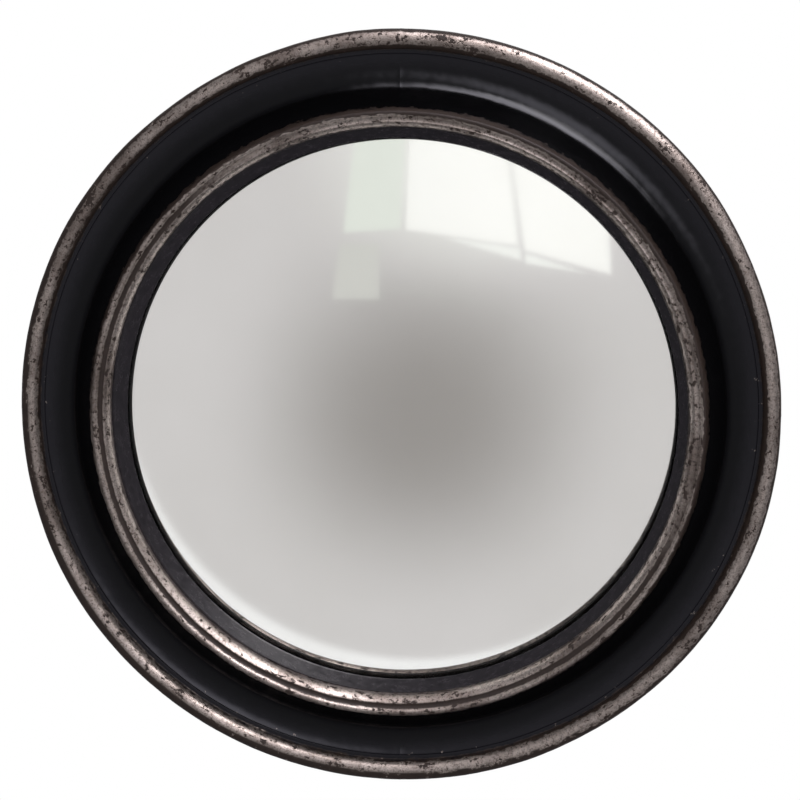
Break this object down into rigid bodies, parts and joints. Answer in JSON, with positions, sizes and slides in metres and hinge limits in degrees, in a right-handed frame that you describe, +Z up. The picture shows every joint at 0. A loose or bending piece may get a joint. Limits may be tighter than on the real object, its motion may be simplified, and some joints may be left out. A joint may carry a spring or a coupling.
{
  "type": "convex butlers mirror",
  "caption": "Round wall mirror with a domed glass in a turned black frame, with worn silver-leaf bead and rings, a back board held by turn buttons and a hanging ring.",
  "frame": {"origin": "on the mirror's axis, in the plane of the wall that the bumpers rest on", "axes": "+Y along the mirror's axis into the wall, so the glass faces -Y; +Z up as it hangs; +X to the right as seen from the front"},
  "size_m": [0.382, 0.041, 0.382],
  "materials": {
    "frame_wood": "black paint over reddish bole, silver leaf rubbed on bead and rings",
    "slip_wood": "ebonised, satin",
    "spline_wood": "planed, unfinished",
    "glass": "clear, polished, domed",
    "silvering": "silvered, backed with grey paint",
    "felt": "pressed felt",
    "card": "laminated grey-brown card",
    "hardboard": "hardboard, smooth side out",
    "steel": "zinc plated",
    "brass": "brass plated, dulled",
    "rubber": "moulded, matt"
  },
  "bodies": {
    "mirror_frame": {"frame_segment_top_right": "frame_wood", "frame_segment_top_left": "frame_wood", "frame_segment_bottom_left": "frame_wood", "frame_segment_bottom_right": "frame_wood", "joint_spline_right": "spline_wood", "joint_spline_top": "spline_wood", "joint_spline_left": "spline_wood", "joint_spline_bottom": "spline_wood", "slip_ring": "slip_wood", "glass_gasket": "felt", "convex_glass": "glass", "silvering": "silvering", "packing_collar": "card", "back_board": "hardboard", "turn_button_screws": "steel", "bumper_top_right": "rubber", "bumper_top_left": "rubber", "bumper_bottom_left": "rubber", "bumper_bottom_right": "rubber", "bumper_screws": "steel", "hanger_plate": "brass", "hanger_screws": "brass"},
    "turn_button_top_right": {"turn_button_top_right": "steel"},
    "turn_button_top_left": {"turn_button_top_left": "steel"},
    "turn_button_bottom_left": {"turn_button_bottom_left": "steel"},
    "turn_button_bottom_right": {"turn_button_bottom_right": "steel"},
    "hanger_ring": {"hanger_ring": "brass"}
  },
  "joints": [
    {"name": "turn_button_top_right_turn", "type": "hinge", "parent": "mirror_frame", "child": "turn_button_top_right", "pos_m": [0.11314, -0.00515, 0.11314], "axis": [0, 1, 0], "continuous": true},
    {"name": "turn_button_top_left_turn", "type": "hinge", "parent": "mirror_frame", "child": "turn_button_top_left", "pos_m": [-0.11314, -0.00515, 0.11314], "axis": [0, 1, 0], "continuous": true},
    {"name": "turn_button_bottom_left_turn", "type": "hinge", "parent": "mirror_frame", "child": "turn_button_bottom_left", "pos_m": [-0.11314, -0.00515, -0.11314], "axis": [0, 1, 0], "continuous": true},
    {"name": "turn_button_bottom_right_turn", "type": "hinge", "parent": "mirror_frame", "child": "turn_button_bottom_right", "pos_m": [0.11314, -0.00515, -0.11314], "axis": [0, 1, 0], "continuous": true},
    {"name": "hanger_ring_swing", "type": "hinge", "parent": "mirror_frame", "child": "hanger_ring", "pos_m": [0, -0.0033, 0.162], "axis": [1, 0, 0], "range_deg": [0, 180]}
  ]
}
